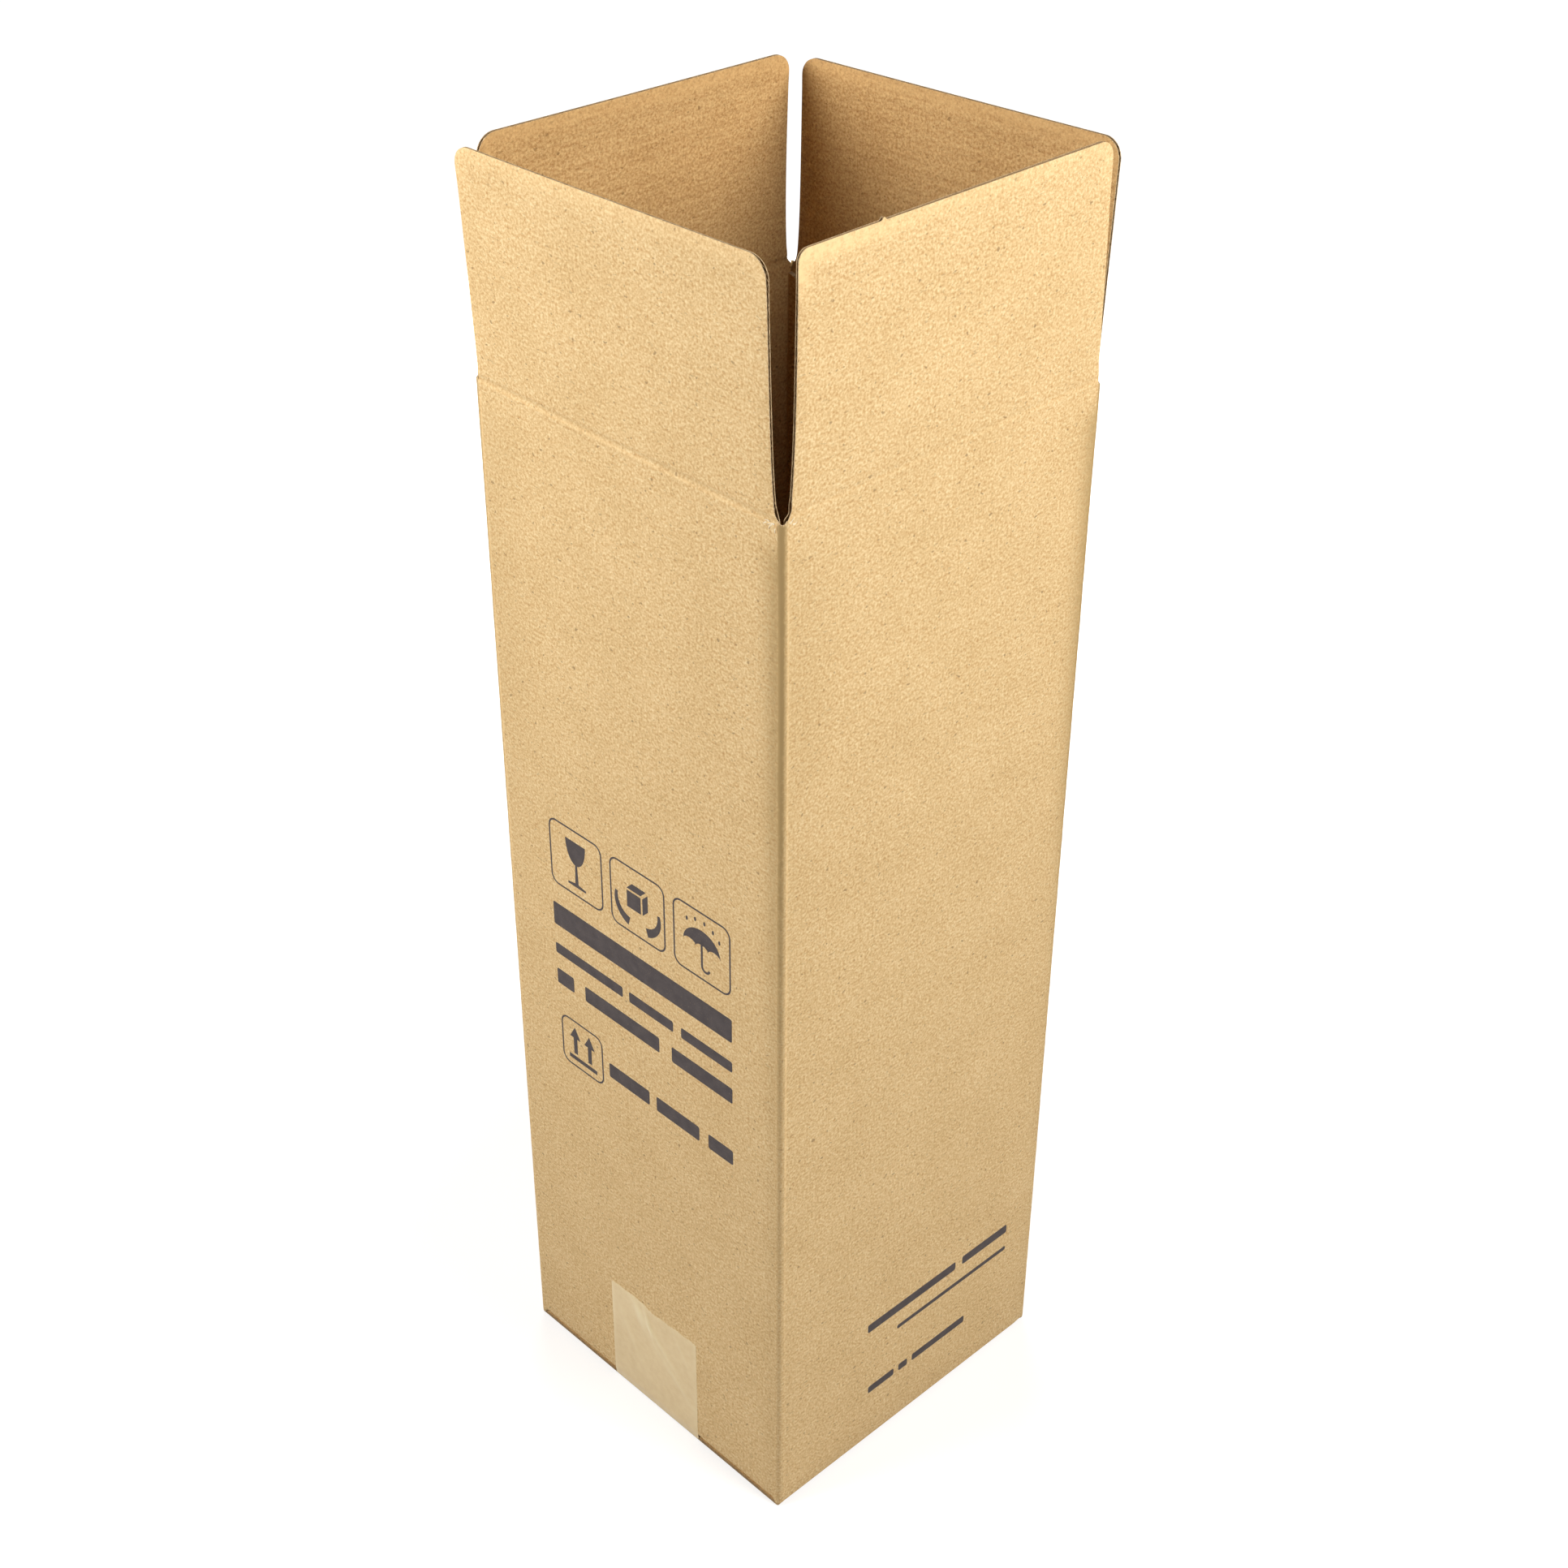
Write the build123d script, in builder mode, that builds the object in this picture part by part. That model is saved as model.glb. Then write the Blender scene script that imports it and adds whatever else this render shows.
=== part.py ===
from build123d import *

import os
from math import radians, tan

# Bottle shipping box: a tall square corrugated carton, top flaps open, bottom flaps folded in and taped.
# Millimetres, +Z up, origin on the floor under the middle of the box. The taped front panel looks along -Y.
# The carton is one folded sheet, so walls, bottom flaps and glue tab are one solid. The four top flaps hinge
# on their creases, so each is a solid of its own, and the tape is the only other piece.

# Board: two liners with a fluted medium glued between them, flutes running round the box
board = 1.6
liner = 0.2
medium = 0.2
flute_pitch = 3.2
flute_crest_radius = 0.4

# Panels and creases
panel = 130.0
minor_crease = 385.0
fold_radius = 2.0
layer_gap = 0.3
corner_foot = 0.6
fold_stub = 2.0

# Top flaps: front and back are the minor pair, left and right the major pair that closes over them
major_flap_length = 71.1
flap_corner_radius = 7.0
slot_half = 4.4
flare_height = 9.0
flare_radius = 14.0
side_clearance = 0.6
crease_gap = 0.12
crease_mitre_deg = 47.0
front_lean_deg = 3.0
back_lean_deg = 2.5
left_lean_deg = -1.0
right_lean_deg = 1.0

# Bottom flaps meet in pairs under the bottle
seam_gap = 1.0

# Glue tab: carried by the left wall, glued inside the back wall
tab_width = 30.0
tab_inset = 4.0
tab_taper = 10.0

# Tape: over the bottom seam and up the front and back panels
tape_film = 0.1
tape_width = 45.0
tape_rise = 48.5
tape_offset = 1.0
tape_bend_radius = 1.5

# One overrun serves every cut
overrun = 5.0

# Sizes that follow from the values above
half = panel / 2
major_crease = minor_crease + board + layer_gap
flap_top = major_crease + major_flap_length
flap_half = half - slot_half
major_foot_half = half - fold_radius
root_half = half - board - side_clearance
notch_half = root_half + layer_gap
mitre_slope = tan(radians(crease_mitre_deg))
major_floor = tape_film
minor_floor = major_floor + board + layer_gap
inner_fold_radius = fold_radius - board
flute_depth = board - liner - liner - medium
flute_foot = crease_gap + board * mitre_slope

os.makedirs("parts", exist_ok=True)


def bottom_flap_profile(floor, top):
    """Section of a wall's foot, its rounded fold and its bottom flap, drawn with the wall at +X."""
    middle = half - board / 2
    level = floor + board / 2
    with BuildSketch(mode=Mode.PRIVATE) as profile:
        with BuildLine():
            FilletPolyline(
                (seam_gap / 2, level), (middle, level), (middle, top), radius=fold_radius - board / 2
            )
        trace(line_width=board)
    return profile.sketch


def crease_cut_profile(crease):
    """What is cut away above a wall's crease: level at the outer face, mitred down towards the inner one."""
    reach = board + overrun
    with BuildSketch(mode=Mode.PRIVATE) as profile:
        with BuildLine():
            Polyline(
                (half + overrun, crease - crease_gap),
                (half, crease - crease_gap),
                (half - reach, crease - crease_gap - reach * mitre_slope),
                (half - reach, major_crease + overrun),
                (half + overrun, major_crease + overrun),
                close=True,
            )
        make_face()
    return profile.sketch


# Section planes for the two pairs of walls: local X points out of the box, local Y is up
major_section = Plane(origin=(0, 0, 0), x_dir=(1, 0, 0), z_dir=(0, -1, 0))
minor_section = Plane(origin=(0, 0, 0), x_dir=(0, -1, 0), z_dir=(-1, 0, 0))

with BuildPart() as carton_body:
    # Four walls in one ring; the corner with the glue tab has a raw board edge instead of a fold
    with BuildSketch(Plane.XY.offset(corner_foot)) as wall_ring:
        Rectangle(panel, panel)
        tab_corner = vertices().sort_by(Axis.X).group_by(Axis.X)[0].sort_by(Axis.Y)[-1]
        fillet(vertices().filter_by(lambda v: v != tab_corner), radius=fold_radius)
        with BuildSketch(mode=Mode.PRIVATE) as bore:
            RectangleRounded(panel - board - board, panel - board - board, inner_fold_radius)
        add(bore.sketch, mode=Mode.SUBTRACT)
        with Locations((-half + fold_radius, half - board - fold_radius)):
            Rectangle(fold_radius, fold_radius, align=(Align.MAX, Align.MIN), mode=Mode.SUBTRACT)
    extrude(amount=major_crease - corner_foot)

    # Fold that carries the glue tab, as long as the tab's root
    with BuildSketch(Plane.XY.offset(tab_inset)):
        with Locations((-half + fold_radius, half - board - fold_radius)):
            Circle(fold_radius)
            Circle(inner_fold_radius, mode=Mode.SUBTRACT)
            Rectangle(fold_radius, fold_radius, align=(Align.MAX, Align.MIN), mode=Mode.INTERSECT)
    extrude(amount=minor_crease - tab_inset - tab_inset)

    # Glue tab with tapered ends on the inside of the back wall
    with BuildSketch(Plane(origin=(-half, half - board, 0), x_dir=(1, 0, 0), z_dir=(0, -1, 0))):
        with BuildLine():
            Polyline(
                (fold_radius, tab_inset),
                (fold_radius + tab_width, tab_inset + tab_taper),
                (fold_radius + tab_width, minor_crease - tab_inset - tab_taper),
                (fold_radius, minor_crease - tab_inset),
                close=True,
            )
        make_face()
    extrude(amount=board)

    # Feet of the walls give way to folds and bottom flaps, the major pair under the minor pair and wider, so that
    # its cut edges show under the front and back walls
    for section, floor, foot_half in (
        (major_section, major_floor, major_foot_half),
        (minor_section, minor_floor, flap_half),
    ):
        fold_top = floor + fold_radius + fold_stub
        with BuildSketch(section):
            with Locations((half - board, fold_top)):
                Rectangle(board + overrun, panel, align=(Align.MIN, Align.MAX))
            mirror(about=Plane.YZ)
        extrude(amount=foot_half, both=True, mode=Mode.SUBTRACT)
        with BuildSketch(section):
            add(bottom_flap_profile(floor, fold_top))
            mirror(about=Plane.YZ)
        extrude(amount=foot_half, both=True)

    # Creases of the top flaps: the minor pair's is one board lower, so the major pair closes over it
    for section, crease in ((minor_section, minor_crease), (major_section, major_crease)):
        with BuildSketch(section):
            add(crease_cut_profile(crease))
            mirror(about=Plane.YZ)
        extrude(amount=notch_half, both=True, mode=Mode.SUBTRACT)

carton_body.part.label = "carton_body"
export_step(carton_body.part, "parts/carton_body.step")

# Each top flap: its crease's middle, the direction along the crease, the outward direction and its lean at rest
top_flaps = {
    "top_flap_front": ((0, -half, minor_crease), (1, 0, 0), (0, -1, 0), front_lean_deg),
    "top_flap_back": ((0, half, minor_crease), (-1, 0, 0), (0, 1, 0), back_lean_deg),
    "top_flap_left": ((-half, 0, major_crease), (0, -1, 0), (-1, 0, 0), left_lean_deg),
    "top_flap_right": ((half, 0, major_crease), (0, 1, 0), (1, 0, 0), right_lean_deg),
}

for name, (middle, along, outward, lean_deg) in top_flaps.items():
    crease_height = middle[-1]
    length = flap_top - crease_height
    facing = Vector(outward).rotate(Axis((0, 0, 0), along), lean_deg)
    flap_plane = Plane(origin=middle, x_dir=along, z_dir=facing)
    section_plane = Plane(origin=middle, x_dir=-facing, z_dir=along)
    flute_count = int((length - flute_foot) / flute_pitch)
    half_base = flute_pitch / 2 - medium
    with BuildPart() as top_flap:
        # Board section: local X from the outer to the inner face, local Y up the flap, mitred at the crease
        with BuildSketch(section_plane):
            with BuildLine():
                Polyline(
                    (0, crease_gap), (board, flute_foot), (board, length), (0, length),
                    close=True,
                )
            make_face()
            # Flute tunnels alternate between the liners; the top cut opens the last one along its length
            with BuildSketch(mode=Mode.PRIVATE) as tunnel:
                with BuildLine():
                    Polyline((0, -half_base), (flute_depth, 0), (0, half_base), close=True)
                make_face()
                fillet(vertices().sort_by(Axis.X)[-1], radius=flute_crest_radius)
            outer_places = [(liner, length - i * flute_pitch) for i in range(flute_count)]
            inner_places = [(board - liner, y - flute_pitch / 2) for x, y in outer_places]
            with Locations(*outer_places):
                add(tunnel.sketch, mode=Mode.SUBTRACT)
            with Locations(*[Location((x, y), 180) for x, y in inner_places]):
                add(tunnel.sketch, mode=Mode.SUBTRACT)
        extrude(amount=root_half, both=True)
        # Die-cut outline: flared at the crease, rounded at the free corners
        with BuildSketch(flap_plane):
            with BuildLine():
                Polyline(
                    (-root_half, 0), (root_half, 0), (flap_half, flare_height), (flap_half, length),
                    (-flap_half, length), (-flap_half, flare_height), close=True,
                )
            make_face()
            fillet(vertices().group_by(Axis.Y)[1], radius=flare_radius)
            fillet(vertices().group_by(Axis.Y)[-1], radius=flap_corner_radius)
        extrude(amount=board + overrun, both=True, mode=Mode.INTERSECT)
    top_flap.part.label = name
    export_step(top_flap.part, f"parts/{name}.step")

# Tape: one strip folded round the foot of the box, over the seam of the major bottom flaps
with BuildPart() as bottom_tape:
    with BuildSketch(Plane(origin=(tape_offset, 0, 0), x_dir=(0, -1, 0), z_dir=(-1, 0, 0))):
        with BuildLine():
            side = half + tape_film / 2
            FilletPolyline(
                (-side, tape_rise), (-side, tape_film / 2), (side, tape_film / 2), (side, tape_rise),
                radius=tape_bend_radius,
            )
        trace(line_width=tape_film)
    extrude(amount=tape_width / 2, both=True)
bottom_tape.part.label = "bottom_tape"
export_step(bottom_tape.part, "parts/bottom_tape.step")
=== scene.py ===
import math

import bmesh
import bpy
import numpy as np
from mathutils import Matrix, Vector


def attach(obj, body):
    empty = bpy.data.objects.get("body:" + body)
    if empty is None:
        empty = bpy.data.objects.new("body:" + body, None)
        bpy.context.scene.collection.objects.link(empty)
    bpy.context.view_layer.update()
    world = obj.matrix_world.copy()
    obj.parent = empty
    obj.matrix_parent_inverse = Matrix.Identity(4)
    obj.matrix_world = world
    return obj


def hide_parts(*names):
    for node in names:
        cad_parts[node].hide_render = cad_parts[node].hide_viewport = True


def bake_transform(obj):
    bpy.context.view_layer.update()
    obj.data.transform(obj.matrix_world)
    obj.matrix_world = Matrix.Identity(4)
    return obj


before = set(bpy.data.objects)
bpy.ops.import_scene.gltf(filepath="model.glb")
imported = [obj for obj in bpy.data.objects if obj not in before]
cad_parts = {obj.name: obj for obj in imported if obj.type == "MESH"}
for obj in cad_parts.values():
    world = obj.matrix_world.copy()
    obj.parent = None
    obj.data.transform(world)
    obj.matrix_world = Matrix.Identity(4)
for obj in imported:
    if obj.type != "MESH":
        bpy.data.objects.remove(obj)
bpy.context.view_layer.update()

# Sizes of the carton in millimetres, as in its solids
MM = 0.001
PANEL = 130.0
HALF = PANEL / 2
BOARD = 1.6
LINER = 0.22
FLUTE_PAPER = 0.16
FLUTE_PITCH = 3.2
FLUTE_WAVE = 1.0
FLUTE_STEPS = 10
FOLD_RADIUS = 2.0
FOLD_SQUARE = 2.6
FLAT_HALF = HALF - FOLD_RADIUS
MINOR_CREASE = 385.0
MAJOR_CREASE = 386.9
FLAP_HALF = 60.6
FLAP_CORNER = 6.0
BEND_REACH = 2.5

# Slots between the top flaps
SLOT_FOOT = 4.6
SLOT_DROP = 0.5
SLOT_ROUND = 3.1
SLOT_FLARE = 1.7
SLOT_FLARE_RISE = 12.0
CRUSHED = 0.5
RAW_POST_RISE = 0.4

# Walls, bottom flaps and glue tab
WALL_TOP = 381.0
WALL_FOOT = 8.0
MINOR_FLOOR = 2.0
MAJOR_FLOOR = 0.1
SEAM_HALF = 0.5
FOOT_EDGE = 64.5
FOOT_EDGE_STEP = 0.4
FOOT_EDGE_INSET = 1.4
DENT_SEED = 7
DENT_DEPTH = 0.05
TAB_WIDTH = 30.0
TAB_FOOT = 1.9
TAB_TOP = 382.4
TAB_TAPER = 10.0
TAB_SEAT = 0.06
TAB_STRIDE = 4.0

# Packing tape, and the stations along it where it turns under the box and up again
TAPE_FILM = 0.1
TAPE_HALF = 22.5
TAPE_RISE = 48.5
TAPE_MIDDLE = 1.0
TAPE_BEND = 0.7
TAPE_HUG = 0.4
TAPE_SIDE = HALF + TAPE_FILM / 2
TAPE_CLIMB = TAPE_RISE - TAPE_BEND
TAPE_FLAT = 2 * (TAPE_SIDE - TAPE_BEND)
TAPE_QUARTER = TAPE_BEND * math.pi / 2
UNDER_START = TAPE_CLIMB + TAPE_QUARTER
UNDER_END = UNDER_START + TAPE_FLAT
BACK_START = UNDER_END + TAPE_QUARTER
TAPE_LENGTH = BACK_START + TAPE_CLIMB

# Ink
INK_FILM = 0.03
INK_ROOT = 0.02
INK_LINE = 0.65
FRAME_CORNER = 3.6
BAR_CORNER = 0.7

# Panels: outward direction, direction along the crease seen from outside, start on the flat blank, height of
# the crease and of the fold at the foot, and half width of the bottom flap
MINOR = {"crease": MINOR_CREASE, "floor": MINOR_FLOOR, "foot": FLAP_HALF}
MAJOR = {"crease": MAJOR_CREASE, "floor": MAJOR_FLOOR, "foot": FLAT_HALF}
FRONT = {"outward": (0, -1, 0), "along": (1, 0, 0), "blank": 0.0, **MINOR}
RIGHT = {"outward": (1, 0, 0), "along": (0, 1, 0), "blank": PANEL, **MAJOR}
BACK = {"outward": (0, 1, 0), "along": (-1, 0, 0), "blank": 2 * PANEL, **MINOR}
LEFT = {"outward": (-1, 0, 0), "along": (0, -1, 0), "blank": -PANEL, **MAJOR}


def ease(x, low, high):
    """Smooth step of an array from 0 at low to 1 at high."""
    t = np.clip((np.asarray(x, float) - low) / (high - low), 0, 1)
    return t * t * (3 - 2 * t)


def bump_at(x, middle, width):
    """Bell curve of height 1."""
    return np.exp(-(((np.asarray(x, float) - middle) / width) ** 2))


def slot_half(rise):
    """Half width of the slot between two flaps at a rise above its round foot."""
    rise = np.maximum(np.asarray(rise, float), 0)
    to_round = 1 - np.minimum(rise / SLOT_FOOT, 1)
    return SLOT_ROUND * np.sqrt(1 - to_round ** 2) + SLOT_FLARE * (1 - np.exp(-rise / SLOT_FLARE_RISE))


def feed(tree, socket, value):
    """Set a socket to a number or a colour, or link it to another node's output."""
    if isinstance(value, (int, float)):
        socket.default_value = value
    elif isinstance(value, tuple):
        socket.default_value = (*value, 1)
    else:
        tree.links.new(value, socket)


def calc(tree, kind, a, b=None):
    """A math node of two values, or of one."""
    node = tree.nodes.new("ShaderNodeMath")
    node.operation = kind
    for socket, value in zip(node.inputs, (a, b)):
        if value is not None:
            feed(tree, socket, value)
    return node.outputs["Value"]


class Finish:
    """A node material with short calls for the nodes used here."""

    def __init__(self, name, roughness, specular):
        self.material = bpy.data.materials.new(name)
        self.material.use_nodes = True
        self.tree = self.material.node_tree
        self.shader = self.tree.nodes["Principled BSDF"]
        self.shader.inputs["Roughness"].default_value = roughness
        self.shader.inputs["Specular IOR Level"].default_value = specular

    def add(self, kind, **settings):
        node = self.tree.nodes.new(kind)
        for key, value in settings.items():
            setattr(node, key, value)
        return node

    def join(self, source, target):
        self.tree.links.new(source, target)

    def blank_place(self, shift=(0, 0, 0), stretch=(1, 1, 1), turn=0.0):
        """Place on the flat blank, in metres, from the piece's own map."""
        uv = self.add("ShaderNodeUVMap", uv_map="blank")
        mapping = self.add("ShaderNodeMapping")
        mapping.inputs["Location"].default_value = shift
        mapping.inputs["Scale"].default_value = stretch
        mapping.inputs["Rotation"].default_value = (0, 0, turn)
        self.join(uv.outputs["UV"], mapping.inputs["Vector"])
        return mapping.outputs["Vector"]

    def speckle(self, place, scale, detail=2.0, roughness=0.5, distortion=0.0):
        node = self.add("ShaderNodeTexNoise")
        node.inputs["Scale"].default_value = scale
        node.inputs["Detail"].default_value = detail
        node.inputs["Roughness"].default_value = roughness
        node.inputs["Distortion"].default_value = distortion
        self.join(place, node.inputs["Vector"])
        return node.outputs["Fac"]

    def ramp(self, value, *stops):
        """Colour ramp through (position, grey level or colour) stops."""
        node = self.add("ShaderNodeValToRGB")
        elements = node.color_ramp.elements
        while len(elements) < len(stops):
            elements.new(0.5)
        for element, (position, level) in zip(elements, stops):
            element.position = position
            element.color = (*level, 1) if isinstance(level, tuple) else (level, level, level, 1)
        self.join(value, node.inputs["Fac"])
        return node.outputs["Color"]

    def sum(self, a, b):
        return calc(self.tree, "ADD", a, b)

    def product(self, a, b):
        return calc(self.tree, "MULTIPLY", a, b)

    def tint(self, base, colour, factor, kind="MIX"):
        node = self.add("ShaderNodeMix", data_type="RGBA", blend_type=kind)
        for socket, value in (("Factor", factor), ("A", base), ("B", colour)):
            feed(self.tree, node.inputs[socket], value)
        return node.outputs["Result"]

    def mark(self, name):
        return self.add("ShaderNodeAttribute", attribute_name=name).outputs["Fac"]

    def relief(self, *heights):
        """Bump from (height, strength, distance) in turn."""
        last = None
        for height, strength, distance in heights:
            node = self.add("ShaderNodeBump")
            node.inputs["Strength"].default_value = strength
            node.inputs["Distance"].default_value = distance
            self.join(height, node.inputs["Height"])
            if last is not None:
                self.join(last, node.inputs["Normal"])
            last = node.outputs["Normal"]
        self.join(last, self.shader.inputs["Normal"])

    def colour(self, value):
        self.join(value, self.shader.inputs["Base Color"])

    def rough(self, value, share, base):
        """Roughness that follows a pattern: base and a share of the value."""
        self.join(self.sum(self.product(value, share), base), self.shader.inputs["Roughness"])


def shaded(colour, *factors):
    """A colour made lighter or darker, with one factor for each channel."""
    return tuple(min(1.0, c * k) for c, k in zip(colour, factors))


def flute_wave(kraft, place):
    """Bands one flute apart; the wave node runs through 20 radians in each unit of its scale."""
    wave = kraft.add("ShaderNodeTexWave", wave_type="BANDS", bands_direction="Y", wave_profile="SIN")
    wave.inputs["Scale"].default_value = 2 * math.pi / 20 / (FLUTE_PITCH * MM)
    wave.inputs["Distortion"].default_value = 0.35
    wave.inputs["Detail"].default_value = 1.0
    wave.inputs["Detail Scale"].default_value = 0.06
    kraft.join(place, wave.inputs["Vector"])
    return wave.outputs["Fac"]


def kraft_liner(name, pale, brown, fleck, shift, washboard, grain=1.0, streaks=0.0):
    """Kraft paper: cloudy fibre mottling, fine grain, dark flecks, faint flutes showing through."""
    kraft = Finish(name, roughness=0.78, specular=0.25)
    place = kraft.blank_place(shift)
    along = kraft.blank_place(shift, stretch=(0.06, 1.0, 1.0))
    rising = kraft.blank_place(shift, stretch=(0.35, 1.0, 1.0), turn=0.5)
    falling = kraft.blank_place(shift, stretch=(0.4, 1.0, 1.0), turn=-0.7)
    oblong = kraft.blank_place(shift, stretch=(0.8, 1.0, 1.0))
    cloud = kraft.speckle(place, scale=45.0, detail=3.0, roughness=0.55)
    mottle = kraft.speckle(place, scale=420.0, detail=3.0, roughness=0.6, distortion=0.4)
    fine = kraft.speckle(place, scale=1150.0, detail=2.0, roughness=0.65)
    band = kraft.speckle(along, scale=330.0, detail=2.0, roughness=0.6)
    streak = kraft.speckle(rising, scale=1300.0, detail=1.0, distortion=1.2)
    fibre = kraft.speckle(falling, scale=900.0, detail=1.0, distortion=1.6)
    speck = kraft.speckle(oblong, scale=620.0, detail=1.0)

    paper = kraft.ramp(cloud, (0.25, brown), (0.75, pale))
    paper = kraft.tint(paper, kraft.ramp(mottle, (0.3, 0.34), (0.7, 0.66)), 0.55 * grain, "SOFT_LIGHT")
    paper = kraft.tint(paper, kraft.ramp(fine, (0.30, 0.10), (0.70, 0.90)), 0.80 * grain, "SOFT_LIGHT")
    paper = kraft.tint(paper, kraft.ramp(band, (0.34, 0.20), (0.66, 0.80)), streaks, "SOFT_LIGHT")
    for spots, first, last, strength, colour in (
        (streak, 0.66, 0.74, 0.45 * grain, fleck),
        (speck, 0.70, 0.74, 0.75, fleck),
        (fibre, 0.66, 0.75, 0.30 * grain, shaded(pale, 1.22, 1.22, 1.22)),
    ):
        marked = kraft.ramp(spots, (first, 0.0), (last, 1.0))
        paper = kraft.tint(paper, colour, kraft.product(marked, strength))

    # Paler where the board is crushed, with painted highlight on edges, ridges and tape wrinkles; darker
    # along the creases and folds, which is painted shade
    worn, broken = shaded(pale, 1.25, 1.25, 1.24), kraft.ramp(mottle, (0.36, 0.45), (0.62, 1.0))
    shade_colour, rubbed = shaded(brown, 0.62, 0.60, 0.52), kraft.ramp(mottle, (0.32, 0.56), (0.66, 0.92))
    paper = kraft.tint(paper, worn, kraft.product(kraft.mark("pressed"), broken))
    paper = kraft.tint(paper, shade_colour, kraft.product(kraft.mark("painted_shade"), rubbed))
    kraft.colour(paper)
    kraft.rough(mottle, 0.14, 0.70)
    kraft.relief(
        (flute_wave(kraft, place), washboard, 0.0001),
        (cloud, 0.25, 0.0006),
        (mottle, 0.22, 0.00008),
        (fine, 0.30, 0.00004),
    )
    return kraft.material


def cut_edge(name, pale, dark):
    """Cut edge of the board: torn pale fibres with darker gaps."""
    edge = Finish(name, roughness=0.85, specular=0.2)
    place = edge.blank_place()
    fibres = edge.speckle(place, scale=1600.0, detail=3.0, roughness=0.65, distortion=0.5)
    gaps = edge.speckle(place, scale=520.0)
    paper = edge.ramp(fibres, (0.3, dark), (0.7, pale))
    paper = edge.tint(paper, dark, edge.product(edge.ramp(gaps, (0.55, 0.0), (0.7, 1.0)), 0.5))
    edge.colour(paper)
    edge.rough(gaps, 0.1, 0.8)
    edge.relief((fibres, 0.5, 0.00008))
    return edge.material


def tape_film():
    """Tan packing film: semi-gloss, cloudy where it has not bonded, with painted highlight on its wrinkles
    and edges.
    """
    film = Finish("packing_film", roughness=0.36, specular=0.45)
    place = film.blank_place()
    drawn = film.blank_place(stretch=(1.0, 0.25, 1.0))
    cloud = film.speckle(place, scale=60.0, detail=3.0, roughness=0.55, distortion=0.6)
    bubble = film.speckle(place, scale=380.0)
    grain = film.speckle(drawn, scale=900.0)
    colour = film.ramp(cloud, (0.3, (0.700, 0.520, 0.268)), (0.7, (0.760, 0.585, 0.325)))
    colour = film.tint(colour, film.ramp(bubble, (0.35, 0.42), (0.65, 0.58)), 0.5, "SOFT_LIGHT")
    # Painted highlight along the film's edges and on its wrinkles
    colour = film.tint(colour, (0.86, 0.74, 0.46), film.product(film.mark("pressed"), 0.8))
    film.colour(colour)
    film.rough(cloud, 0.18, 0.26)
    film.relief((cloud, 0.2, 0.0003), (bubble, 0.2, 0.00006), (grain, 0.1, 0.00003))
    return film.material


def print_ink():
    """Water-based ink laid thinly on kraft, so the grain shows through it."""
    ink = Finish("print_ink", roughness=0.68, specular=0.25)
    place = ink.blank_place()
    grain = ink.speckle(place, scale=1150.0, roughness=0.65)
    cloud = ink.speckle(place, scale=240.0)
    colour = ink.ramp(cloud, (0.3, (0.046, 0.036, 0.037)), (0.7, (0.070, 0.056, 0.055)))
    thin = ink.product(ink.ramp(grain, (0.60, 0.0), (0.80, 1.0)), 0.35)
    ink.colour(ink.tint(colour, (0.30, 0.22, 0.14), thin))
    ink.rough(grain, 0.2, 0.56)
    ink.relief((grain, 0.3, 0.00004))
    return ink.material


KRAFT_OUT = kraft_liner(
    "kraft_outside", pale=(0.700, 0.495, 0.252), brown=(0.640, 0.442, 0.214), fleck=(0.30, 0.19, 0.085),
    shift=(0.0, 0.0, 0.0), washboard=0.06,
)
KRAFT_IN = kraft_liner(
    "kraft_inside", pale=(0.550, 0.345, 0.146), brown=(0.495, 0.300, 0.120), fleck=(0.25, 0.14, 0.05),
    shift=(3.1, 1.7, 0.0), washboard=0.6, grain=0.9, streaks=0.14,
)
CUT_EDGE = cut_edge("board_cut_edge", pale=(0.66, 0.50, 0.30), dark=(0.30, 0.20, 0.10))
FLUTE_BROWN = cut_edge("flute_paper", pale=(0.42, 0.28, 0.14), dark=(0.20, 0.125, 0.06))
TORN_PALE = cut_edge("torn_fibre", pale=(0.92, 0.83, 0.64), dark=(0.76, 0.63, 0.42))
TAPE_TAN = tape_film()
INK = print_ink()
BOARD_FINISHES = [KRAFT_OUT, KRAFT_IN, CUT_EDGE, FLUTE_BROWN]
OUT, IN, CUT, FLUTE = range(4)


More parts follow.
